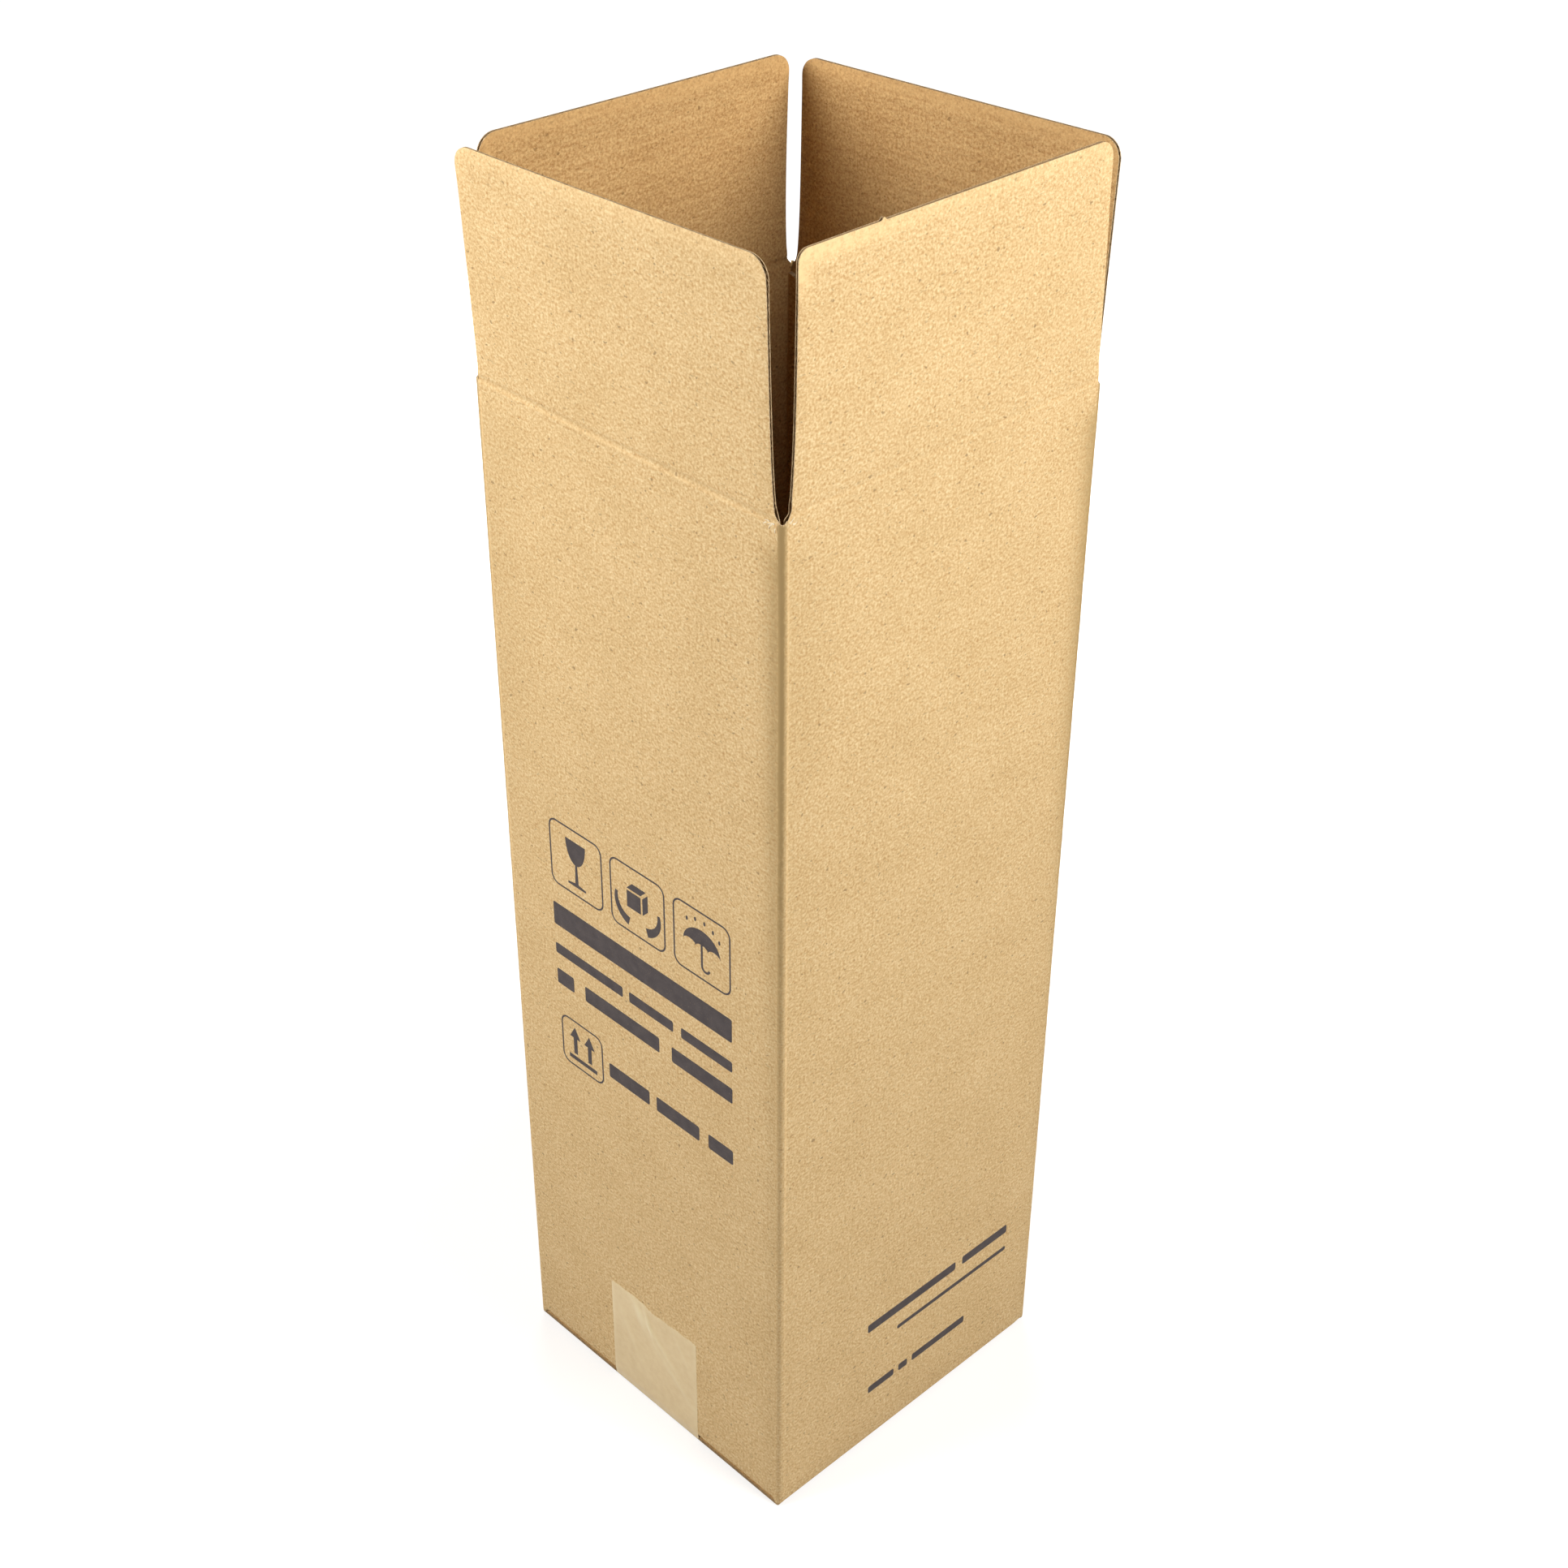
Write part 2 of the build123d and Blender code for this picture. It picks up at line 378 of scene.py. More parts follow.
class Sheet:
    """Gathers a piece's faces in millimetres, with their place on the blank and their marks of pale crushed
    paper, painted highlight and painted shade, as one mesh.
    """

    # Corner points of a piece nearer than this, in metres, are one
    WELD = 2e-6

    def __init__(self):
        self.points, self.blank, self.pressed, self.painted_shade = [], [], [], []
        self.faces, self.slots = [], []

    def patch(self, points, blank, slot, pressed=0.0, painted_shade=0.0, inward=False):
        """A grid of points as quads."""
        rows, cols = points.shape[:2]
        start = len(self.points)
        self.points.extend(points.reshape(-1, 3))
        self.blank.extend(np.broadcast_to(blank, (rows, cols, 2)).reshape(-1, 2))
        self.pressed.extend(np.broadcast_to(pressed, (rows, cols)).ravel())
        self.painted_shade.extend(np.broadcast_to(painted_shade, (rows, cols)).ravel())
        for r in range(rows - 1):
            for c in range(cols - 1):
                a = start + r * cols + c
                quad = (a, a + 1, a + cols + 1, a + cols)
                self.faces.append(quad[::-1] if inward else quad)
                self.slots.append(slot)

    def loose(self, points, blank, faces, slot):
        """Points with faces of their own, with no painted highlight and no painted shade."""
        start = len(self.points)
        self.points.extend(points)
        self.blank.extend(blank)
        self.pressed.extend(np.zeros(len(points)))
        self.painted_shade.extend(np.zeros(len(points)))
        self.faces.extend(tuple(start + i for i in face) for face in faces)
        self.slots.extend([slot] * len(faces))

    def rim(self, outer, inner, blank, slot):
        """Strip that closes two edges, which run with the sheet on their left, seen from outside."""
        self.patch(np.stack([inner, outer]), np.stack([blank, blank]), slot)

    def shell(self, outer, inner, blank, slots, pressed=0.0, painted_shade=0.0, rims="blrt"):
        """Outer and inner faces of a sheet and the rims named: b bottom, l left, r right, t top."""
        shape = outer.shape[:2]
        blank = np.broadcast_to(blank, (*shape, 2))
        pressed = np.broadcast_to(pressed, shape)
        face, lining, edge = slots
        self.patch(outer, blank, face, pressed, painted_shade)
        self.patch(inner, blank, lining, pressed, painted_shade, inward=True)
        whole, reverse = slice(None), slice(None, None, -1)
        edges = {
            "b": (slice(0, 1), whole), "t": (slice(-1, None), reverse),
            "r": (whole, slice(-1, None)), "l": (reverse, slice(0, 1)),
        }
        for side in rims:
            at = edges[side]
            self.rim(outer[at].reshape(-1, 3), inner[at].reshape(-1, 3), blank[at].reshape(-1, 2), edge)

    def piece(self, name, finishes, smooth_deg=38.0):
        """The finished object, at the origin, with its place on the blank and its painted highlight and shade
        stored in the mesh.
        """
        mesh = bpy.data.meshes.new(name)
        mesh.from_pydata([tuple(p * MM) for p in np.asarray(self.points, float)], [], self.faces)
        for finish in finishes:
            mesh.materials.append(finish)
        mesh.polygons.foreach_set("material_index", self.slots)
        corner_vertex = np.zeros(len(mesh.loops), int)
        mesh.loops.foreach_get("vertex_index", corner_vertex)
        blank = np.asarray(self.blank, float) * MM
        uv = mesh.uv_layers.new(name="blank")
        uv.data.foreach_set("uv", blank[corner_vertex].astype(np.float32).ravel())
        for mark, values in (("pressed", self.pressed), ("painted_shade", self.painted_shade)):
            layer = mesh.attributes.new(mark, "FLOAT", "POINT")
            layer.data.foreach_set("value", np.asarray(values, np.float32))
        work = bmesh.new()
        work.from_mesh(mesh)
        bmesh.ops.remove_doubles(work, verts=work.verts, dist=self.WELD)
        work.to_mesh(mesh)
        work.free()
        mesh.polygons.foreach_set("use_smooth", [True] * len(mesh.polygons))
        mesh.set_sharp_from_angle(angle=math.radians(smooth_deg))
        mesh.update()
        piece = bpy.data.objects.new(name, mesh)
        bpy.context.scene.collection.objects.link(piece)
        return piece


def on_panel(panel, u, z, n):
    """Points at u along a panel, height z and n out of its outer face."""
    u, z, n = np.broadcast_arrays(np.asarray(u, float), np.asarray(z, float), np.asarray(n, float))
    along, outward = np.array(panel["along"], float), np.array(panel["outward"], float)
    upward = np.array((0.0, 0.0, 1.0))
    return u[..., None] * along + (HALF + n)[..., None] * outward + z[..., None] * upward


def flute_tree():
    """Corrugated paper as a rule: a flat strip bent into waves of one pitch, given its thickness."""
    tree = bpy.data.node_groups.new("flute_paper_strip", "GeometryNodeTree")
    tree.interface.new_socket("Geometry", in_out="OUTPUT", socket_type="NodeSocketGeometry")
    for name in ("Width", "Length", "Pitch", "Wave Height", "Paper"):
        tree.interface.new_socket(name, in_out="INPUT", socket_type="NodeSocketFloat")
    for name in ("Columns", "Rows"):
        tree.interface.new_socket(name, in_out="INPUT", socket_type="NodeSocketInt")
    tree.interface.new_socket("Finish", in_out="INPUT", socket_type="NodeSocketMaterial")
    nodes, links = tree.nodes, tree.links
    sizes = nodes.new("NodeGroupInput").outputs

    grid = nodes.new("GeometryNodeMeshGrid")
    links.new(sizes["Width"], grid.inputs["Size X"])
    links.new(sizes["Length"], grid.inputs["Size Y"])
    links.new(sizes["Columns"], grid.inputs["Vertices X"])
    links.new(sizes["Rows"], grid.inputs["Vertices Y"])

    place = nodes.new("GeometryNodeInputPosition")
    split = nodes.new("ShaderNodeSeparateXYZ")
    join = nodes.new("ShaderNodeCombineXYZ")
    links.new(place.outputs["Position"], split.inputs["Vector"])
    turns = calc(tree, "DIVIDE", split.outputs["Y"], sizes["Pitch"])
    wave = calc(tree, "SINE", calc(tree, "MULTIPLY", turns, 2 * math.pi))
    half_height = calc(tree, "MULTIPLY", sizes["Wave Height"], 0.5)
    links.new(calc(tree, "MULTIPLY", wave, half_height), join.inputs["Z"])
    waves = nodes.new("GeometryNodeSetPosition")
    links.new(grid.outputs["Mesh"], waves.inputs["Geometry"])
    links.new(join.outputs["Vector"], waves.inputs["Offset"])

    thick = nodes.new("GeometryNodeExtrudeMesh")
    thick.inputs["Individual"].default_value = False
    links.new(waves.outputs["Geometry"], thick.inputs["Mesh"])
    links.new(sizes["Paper"], thick.inputs["Offset Scale"])
    under = nodes.new("GeometryNodeFlipFaces")
    links.new(waves.outputs["Geometry"], under.inputs["Mesh"])
    both = nodes.new("GeometryNodeJoinGeometry")
    links.new(thick.outputs["Mesh"], both.inputs["Geometry"])
    links.new(under.outputs["Mesh"], both.inputs["Geometry"])
    weld = nodes.new("GeometryNodeMergeByDistance")
    weld.inputs["Distance"].default_value = 1e-4
    links.new(both.outputs["Geometry"], weld.inputs["Geometry"])

    real = nodes.new("GeometryNodeRealizeInstances")
    paint = nodes.new("GeometryNodeSetMaterial")
    leave = nodes.new("NodeGroupOutput")
    links.new(weld.outputs["Geometry"], real.inputs["Geometry"])
    links.new(real.outputs["Geometry"], paint.inputs["Geometry"])
    links.new(sizes["Finish"], paint.inputs["Material"])
    links.new(paint.outputs["Geometry"], leave.inputs["Geometry"])
    return tree


FLUTES = flute_tree()


def flute_strip(width, length, columns):
    """Plain mesh data of a flute strip in its own flat place: points (across, along, height) and faces."""
    host = bpy.data.objects.new("flute_strip", bpy.data.meshes.new("flute_strip"))
    bpy.context.scene.collection.objects.link(host)
    modifier = host.modifiers.new("flutes", "NODES")
    modifier.node_group = FLUTES
    sizes = {
        "Width": width, "Length": length, "Pitch": FLUTE_PITCH, "Wave Height": FLUTE_WAVE,
        "Paper": FLUTE_PAPER, "Columns": columns, "Rows": int(length / FLUTE_PITCH * FLUTE_STEPS) + 1,
        "Finish": FLUTE_BROWN,
    }
    for item in FLUTES.interface.items_tree:
        if item.in_out == "INPUT":
            modifier[item.identifier] = sizes[item.name]
    depsgraph = bpy.context.evaluated_depsgraph_get()
    made = bpy.data.meshes.new_from_object(host.evaluated_get(depsgraph), depsgraph=depsgraph)
    points = np.zeros(len(made.vertices) * 3)
    made.vertices.foreach_get("co", points)
    faces = [tuple(p.vertices) for p in made.polygons]
    host.modifiers.remove(modifier)
    bpy.data.objects.remove(host)
    bpy.data.meshes.remove(made)
    return points.reshape(-1, 3), faces


class TopFlap:
    """A top flap, its crease and the strip of wall under it, in u along the crease and v up the board."""

    BAND_WIDTH = 4.6
    BAND_CRUSH = 0.45
    KNIFE_TOP = 0.20
    KNIFE_SIDES = 0.34
    KNIFE_REACH = 1.6
    PINCH_REACH = 0.9
    OUTER_GIVE = 0.6
    INNER_GIVE = 0.5
    GROOVE_DEPTH = 0.22
    GROOVE_RIDGE = 0.12
    FOLD_BULGE = 0.55
    KINK = 1.0
    NICK_HEIGHT = 0.9
    NICK_WIDTH = 0.6
    LOWER_PART = 14.0
    FLUTE_FOOT = 2.6
    FLUTE_CLEAR = 0.05
    FLUTE_COLUMNS = 13

    def __init__(
        self, panel, length, slope, lean_deg, twist_deg, bow, curl, worn, score,
        pinch=0.0, nick=None, full_end=0, taper=0.0, corners=(FLAP_CORNER, FLAP_CORNER),
    ):
        self.panel, self.length, self.slope = panel, length, slope
        self.lean, self.twist = math.radians(lean_deg), math.radians(twist_deg)
        self.bow, self.curl = bow, curl
        self.worn, self.score, self.pinch, self.nick = worn, score, pinch, nick
        self.full_end, self.taper, self.corners = full_end, taper, corners

    def straight_half(self, v, end):
        """Half width at the left end (-1) or right end (1); a full end keeps nearly the panel's width."""
        rise = v + self.panel["crease"] - MINOR_CREASE + SLOT_DROP
        full_slot = FOLD_RADIUS + self.taper * np.clip(v / self.length, 0, 1)
        return np.minimum(FLAT_HALF, HALF - np.where(end == self.full_end, full_slot, slot_half(rise)))

    def half_width(self, v, end):
        """Half width with the rounded corner at the top."""
        v, corner = np.asarray(v, float), np.where(end < 0, *self.corners)
        over = np.clip(v - (self.length - corner), 0, corner)
        return self.straight_half(v, end) - corner + np.sqrt(np.maximum(corner ** 2 - over ** 2, 0))

    def edge_distance(self, u, v):
        """Distance to the nearest cut edge."""
        end = np.sign(u)
        corner = np.where(end < 0, *self.corners)
        inset_u = np.abs(u) - (self.straight_half(v, end) - corner)
        inset_v = v - (self.length - corner)
        straight = np.minimum(self.half_width(v, end) - np.abs(u), self.length - v)
        round_off = corner - np.hypot(inset_u, inset_v)
        return np.maximum(np.where((inset_u > 0) & (inset_v > 0), round_off, straight), 0)

    def band_strength(self, u):
        """How strongly the top band is crushed and painted pale, partly as painted highlight, from the flap's
        left end to its right end.
        """
        left, right = self.worn
        return right + (left - right) * (1 - ease(u, -FLAP_HALF, 0))

    def band(self, u, v):
        """Flattened band under the top edge, fading down the sides."""
        near = np.exp(-((self.edge_distance(u, v) / self.BAND_WIDTH) ** 4))
        return self.band_strength(u) * near * ease(v, self.length - 16, self.length - 5)

    def faces_at(self, u, v):
        """Outer and inner face of the board, out of the panel's plane."""
        from_top = self.length - v
        knife = self.KNIFE_TOP + self.KNIFE_SIDES * ease(from_top, 5, 14)
        edge = knife * np.exp(-self.edge_distance(u, v) / self.KNIFE_REACH)
        crush = (self.BAND_CRUSH * self.band(u, v) + edge) * ease(v, 0.5, 5)
        crush = crush + self.pinch * np.exp(-from_top / self.PINCH_REACH)
        groove = self.GROOVE_DEPTH * bump_at(v, 0.35, 0.85) - self.GROOVE_RIDGE * bump_at(v, -1.7, 0.8)
        fold = self.FOLD_BULGE * bump_at(v, 0.2, 1.3)
        return -crush * self.OUTER_GIVE - self.score * groove, -BOARD + crush * self.INNER_GIVE + fold

    def place(self, u, v, n):
        """Point of the flap at u along the crease, v up the board and n out of its face."""
        u, v, n = np.broadcast_arrays(np.asarray(u, float), np.asarray(v, float), np.asarray(n, float))
        share = np.clip(v / self.length, 0, 1)
        v = v + self.slope * u / HALF * share
        if self.nick is not None:
            v = v + self.NICK_HEIGHT * bump_at(u, self.nick, self.NICK_WIDTH) * ease(share, 0.97, 1)
        lean = self.lean + self.twist * u / HALF
        kink = self.KINK
        swing = np.where(v > kink, v, np.where(v < -kink, 0, (v + kink) ** 2 / (4 * kink)))
        turned = lean * np.clip((v + kink) / (2 * kink), 0, 1)
        belly = self.bow * (1 - (u / HALF) ** 2) * share ** 2 + self.curl * share ** 3
        out = np.sin(lean) * swing + n * np.cos(turned) + belly
        up = np.where(v > 0, v * np.cos(lean), v) - n * np.sin(turned)
        return on_panel(self.panel, u, self.panel["crease"] + up, out)

    def rows(self):
        """Stations up the board, close together across the crease and round the top corners."""
        straight = self.length - FLAP_CORNER
        corner = np.radians(np.linspace(90, 0, 13)[1:])
        return np.concatenate([
            np.linspace(WALL_TOP - self.panel["crease"], -BEND_REACH, 3),
            np.linspace(-BEND_REACH, BEND_REACH, 19)[1:],
            np.linspace(BEND_REACH, self.LOWER_PART, 12)[1:],
            np.linspace(self.LOWER_PART, straight - 1, 14)[1:],
            [straight],
            straight + FLAP_CORNER * np.cos(corner),
        ])

    def grid(self):
        """Stations over the flap, close together near its ends and round the nick."""
        inset = np.array([0, 0.3, 0.7, 1.3, 2.1, 3.1, 4.4, 6.0, 8.0, 11, 16, 23, 33, 45])
        share = np.concatenate([-(1 - inset / FLAP_HALF), [0], (1 - inset / FLAP_HALF)[::-1]])
        if self.nick is not None:
            top_half = self.half_width(self.length, np.sign(self.nick))
            share = np.sort(np.concatenate([share, (self.nick + np.linspace(-1.5, 1.5, 9)) / top_half]))
        v = np.repeat(self.rows()[:, None], len(share), 1)
        return share * self.half_width(v, np.sign(share)), v

    def blank_at(self, u, v):
        return np.stack([self.panel["blank"] + u, self.panel["crease"] + v], -1)

    def liners(self, sheet):
        """The two papers of the board, each a thin closed sheet."""
        u, v = self.grid()
        outer, inner = self.faces_at(u, v)
        # Paler band under the top edge and along the cut edges: crushed paper, with painted highlight
        pale_edge = 0.15 * np.exp(-self.edge_distance(u, v) / 0.6) * ease(v, 1, 8)
        pressed = self.band(u, v) + pale_edge
        # Painted highlight on the ridge under the crease; painted shade in the crease groove and along the
        # crease inside
        crease_highlight = self.score * 0.45 * bump_at(v, -0.9, 0.4)
        crease_shade = self.score * 0.30 * bump_at(v, 0.5, 0.7)
        inner_crease_shade = 0.45 * bump_at(v, -0.6, 0.9)
        for face, slots, pale, dark in (
            (outer, (OUT, FLUTE, CUT), pressed + crease_highlight, crease_shade),
            (inner + LINER, (FLUTE, IN, CUT), pressed, inner_crease_shade),
        ):
            upper, lower = self.place(u, v, face), self.place(u, v, face - LINER)
            sheet.shell(upper, lower, self.blank_at(u, v), slots, pale, dark)

    def flutes(self, sheet):
        """The fluted paper between the liners, from above the crease to the top cut."""
        length = self.length - self.FLUTE_FOOT - self.FLUTE_CLEAR
        points, faces = flute_strip(2 * FLAP_HALF, length, self.FLUTE_COLUMNS)
        across, along, height = points.T
        v = along + length / 2 + self.FLUTE_FOOT
        u = across / FLAP_HALF * self.half_width(v, np.sign(across))
        outer, inner = self.faces_at(u, v)
        middle, gap = (outer + inner) / 2, (outer - inner) - 2 * LINER
        level = (height - FLUTE_PAPER / 2) * gap / (FLUTE_WAVE + FLUTE_PAPER)
        sheet.loose(self.place(u, v, middle + level), self.blank_at(u, v), faces, FLUTE)

    def make(self, name):
        sheet = Sheet()
        self.liners(sheet)
        self.flutes(sheet)
        return sheet.piece(name, BOARD_FINISHES)


FLAPS = {
    "front": TopFlap(
        FRONT, length=71.5, slope=0.7, lean_deg=1.9, twist_deg=-0.65, bow=0.2, curl=0.2,
        worn=(0.25, 0.25), score=1.0, pinch=0.55, full_end=-1, taper=0.1,
    ),
    "right": TopFlap(
        RIGHT, length=72.0, slope=0.0, lean_deg=1.0, twist_deg=0.0, bow=-0.2, curl=-0.4,
        worn=(1.0, 0.3), score=0.3, nick=-30.0, full_end=1, taper=2.6, corners=(3.4, 5.0),
    ),
    "back": TopFlap(
        BACK, length=69.6, slope=-1.8, lean_deg=1.4, twist_deg=-1.1, bow=-0.3, curl=0.2,
        worn=(0.5, 0.5), score=0.6, full_end=-1, taper=0.1,
    ),
    "left": TopFlap(
        LEFT, length=68.6, slope=1.0, lean_deg=-1.0, twist_deg=0.0, bow=-0.3, curl=-0.8,
        worn=(0.5, 0.5), score=0.6,
    ),
}
for side, flap in FLAPS.items():
    piece = flap.make("flap_" + side)
    middle = np.array(flap.panel["outward"], float) * HALF * MM
    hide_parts("top_flap_" + side)
    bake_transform(piece)


def panel_stations(low, high):
    """Stations along a panel, close together near its folded edges."""
    inset = np.array([0, 0.2, 0.4, 0.7, 1.0, 1.4, 1.9, 2.4, 3.2, 4.2, 5.6, 8.0, 12, 18, 28, 42])
    left, right = -FLAT_HALF + inset, FLAT_HALF - inset[::-1]
    stations = np.concatenate([left, [0], right])
    return np.concatenate([[low], stations[(stations > low + 0.1) & (stations < high - 0.1)], [high]])


class WallRing:
    """Columns of the folded strip in plan, from the left panel round to the raw edge of the back panel."""

    PANELS = (LEFT, FRONT, RIGHT, BACK)
    SPANS = (
        (-FLAT_HALF + BOARD, FLAT_HALF), (-FLAT_HALF, FLAT_HALF), (-FLAT_HALF, FLAT_HALF), (-FLAT_HALF, HALF),
    )
    LAST = 3
    FOLD_STEPS = 14
    FOLD_SINK = 0.30
    FOLD_RIDGE = 0.10
    # Strength of the painted shade on the corner folds and on the panel just before each
    FOLD_SHADE = 0.16
    CORNER_TURN = 0.80
    NEAR = 0.01

    def __init__(self):
        columns = []
        shares = np.arange(1, self.FOLD_STEPS) / self.FOLD_STEPS
        for number, (low, high) in enumerate(self.SPANS):
            columns += [self.flat_column(number, u) for u in panel_stations(low, high)]
            if number < self.LAST:
                columns += [self.fold_column(number, share) for share in shares]
        for name in columns[0]:
            setattr(self, name, np.array([column[name] for column in columns]))
        self.blank = np.array([self.PANELS[k]["blank"] for k in self.number]) + self.u
        self.on_fold = self.u > FLAT_HALF + self.NEAR
        way = self.inner - self.outer
        self.inward = way / np.linalg.norm(way, axis=1, keepdims=True)
        self.level = self.outer + self.depth[:, None] * self.inward
        self.set_feet()

    def flat_column(self, number, u):
        """A column of a flat panel, which sinks to the fold after it, with painted shade there and faintly
        along its edges, and has a ridge with a painted highlight at its start.
        """
        panel, inset = self.PANELS[number], HALF - abs(u)
        sink = ridge = 0.0
        # Painted shade: faint along the panel's edges, strong beside the fold after it
        rubbed = 0.2 * (1 - float(ease(inset, FOLD_RADIUS, 26)))
        if u > 0 and panel is not BACK:
            sink = 1 - float(ease(inset, FOLD_RADIUS, 6.5))
            rubbed = 1 - float(ease(inset, FOLD_RADIUS - 3, 12))
        elif u < 0 and panel is not LEFT:
            ridge = float(bump_at(inset, FOLD_RADIUS + 0.35, 0.35))
        depth = self.FOLD_RIDGE * ridge - self.FOLD_SINK * sink
        return {
            "number": number, "u": u, "depth": depth, "give": sink,
            "pressed": 0.8 * ridge, "painted_shade": self.FOLD_SHADE * sink, "rubbed": rubbed,
            "outer": on_panel(panel, u, 0, depth), "inner": on_panel(panel, u, 0, -BOARD),
        }

    def fold_column(self, number, share):
        """A column of the fold after a panel, between round and square, with a band of painted shade across
        it.
        """
        panel = self.PANELS[number]
        along, outward = np.array(panel["along"], float), np.array(panel["outward"], float)
        centre = on_panel(panel, FLAT_HALF, 0, -FOLD_RADIUS)
        angle = math.pi / 2 * share
        direction = math.sin(angle) * along + math.cos(angle) * outward
        square = (math.sin(angle) ** FOLD_SQUARE + math.cos(angle) ** FOLD_SQUARE) ** (-1 / FOLD_SQUARE)
        depth = -self.FOLD_SINK * (1 - float(ease(share, 0, 0.9)))
        dark = float(ease(share, 0.0, 0.2) * (1 - ease(share, 0.45, 0.96)))
        return {
            "number": number, "u": FLAT_HALF + 2 * FOLD_RADIUS * share, "depth": depth, "give": 1 - share,
            "pressed": 0.0, "painted_shade": self.FOLD_SHADE + 0.34 * dark, "rubbed": 0.5 + 0.7 * dark,
            "outer": centre + (FOLD_RADIUS * square + depth) * direction,
            "inner": centre + (FOLD_RADIUS - BOARD) * direction,
        }

    def columns(self, number, low, high):
        """Columns of a panel and the fold after it, between two places along it."""
        inside = (self.u >= low - self.NEAR) & (self.u <= high + self.NEAR)
        return np.flatnonzero((self.number == number) & inside)

    def corner(self, number, before, after):
        """Columns round the fold after a panel, from its own station to the next panel's."""
        own = self.columns(number, before, FLAT_HALF + 2 * FOLD_RADIUS)
        return np.concatenate([own, self.columns(number + 1, -HALF, -after)])

    def foot_corner(self, number):
        """Columns between the bottom flaps of two panels, or beyond the last one."""
        own = self.PANELS[number]["foot"]
        if number == self.LAST:
            return self.columns(number, own, HALF)
        return self.corner(number, own, self.PANELS[number + 1]["foot"])

    def set_feet(self):
        """Height of the fold line under each column, and how far the board turns in there."""
        self.floor = np.array([self.PANELS[k]["floor"] for k in self.number])
        self.turn = np.ones(len(self.floor))
        for number, panel in enumerate(self.PANELS):
            corner = self.foot_corner(number)
            steps = np.linalg.norm(np.diff(self.outer[corner], axis=0), axis=1)
            run = np.concatenate([[0], np.cumsum(steps)])
            first, last = panel["floor"], self.PANELS[(number + 1) % len(self.PANELS)]["floor"]
            away = run if first > last else run[-1] - run
            self.floor[corner] = min(first, last) + abs(first - last) * (1 - ease(away, 1.0, 3.2))
            inset = run if number == self.LAST else np.minimum(run, run[-1] - run)
            self.turn[corner] = 1 - self.CORNER_TURN * ease(inset, 0, 1.8)


def lifted(plan, z):
    """Columns of a plan lifted to heights z, rows by columns."""
    points = np.repeat(plan[None, :, :], z.shape[0], 0).copy()
    points[..., 2] = z
    return points


def fold_paint_by_height(z):
    """Painted shade and highlight on the corner folds, strongest in the upper half of the box."""
    return 0.15 + 0.85 * ease(z, 20, 220)


def fold_shade_by_height(ring, z):
    """Painted shade, darkest high up: on the folds to their tops, beside them to just under the crease."""
    high = 0.12 + 0.88 * ease(z, 150, 360)
    return high * np.where(ring.on_fold, 1, 1 - ease(z, 372, WALL_TOP))


def wall_faces(ring, sheet):
    """Walls from the fold line at the foot up to the strips under the creases, in one run round the box."""
    bend = np.radians(np.linspace(90, 0, 8))[:, None]
    rise = np.linspace(WALL_FOOT, WALL_TOP, 125)[:, None] + 0 * ring.floor
    small = FOLD_RADIUS - BOARD
    dents = np.random.default_rng(DENT_SEED).normal(0, DENT_DEPTH, len(rise))[:, None]
    dents = dents * ease(rise, 10, 20) * (1 - ease(rise, 360, 378))
    level = ring.depth * ease(rise, 345, 378)
    foot_tuck = (FOLD_RADIUS + ring.depth) * ring.turn * (1 - np.cos(bend))
    tuck = np.concatenate([foot_tuck, dents * ring.give + level])
    tuck_in = np.concatenate([small * ring.turn * (1 - np.cos(bend)), 0 * rise])
    z = np.concatenate([ring.floor + FOLD_RADIUS * (1 - np.sin(bend)), rise])
    z_in = np.concatenate([ring.floor + FOLD_RADIUS - small * np.sin(bend), rise])
    travel = np.concatenate([ring.floor + FOLD_RADIUS * (1 - bend), rise])
    outer = lifted(ring.outer, z) + tuck[..., None] * ring.inward
    inner = lifted(ring.inner, z_in) + tuck_in[..., None] * ring.inward
    place = np.stack([np.broadcast_to(ring.blank, z.shape), travel], -1)
    # Painted shade across the fold at the foot and on and beside the corner folds; painted highlight on the
    # ridges beside them
    foot_shade = np.concatenate([0.3 * np.sin(2 * bend) + 0 * ring.floor, 0 * rise])
    painted_shade = ring.painted_shade * fold_paint_by_height(z) + ring.rubbed * fold_shade_by_height(ring, z) + foot_shade
    sheet.shell(outer, inner, place, (OUT, IN, CUT), ring.pressed * fold_paint_by_height(z), painted_shade, "lr")
    for number in range(len(ring.PANELS)):
        corner = ring.foot_corner(number)
        sheet.rim(outer[0, corner], inner[0, corner], place[0, corner], CUT)
        top = ring.columns(number, -FLAT_HALF, FLAT_HALF)[::-1]
        sheet.rim(outer[-1, top], inner[-1, top], place[-1, top], CUT)


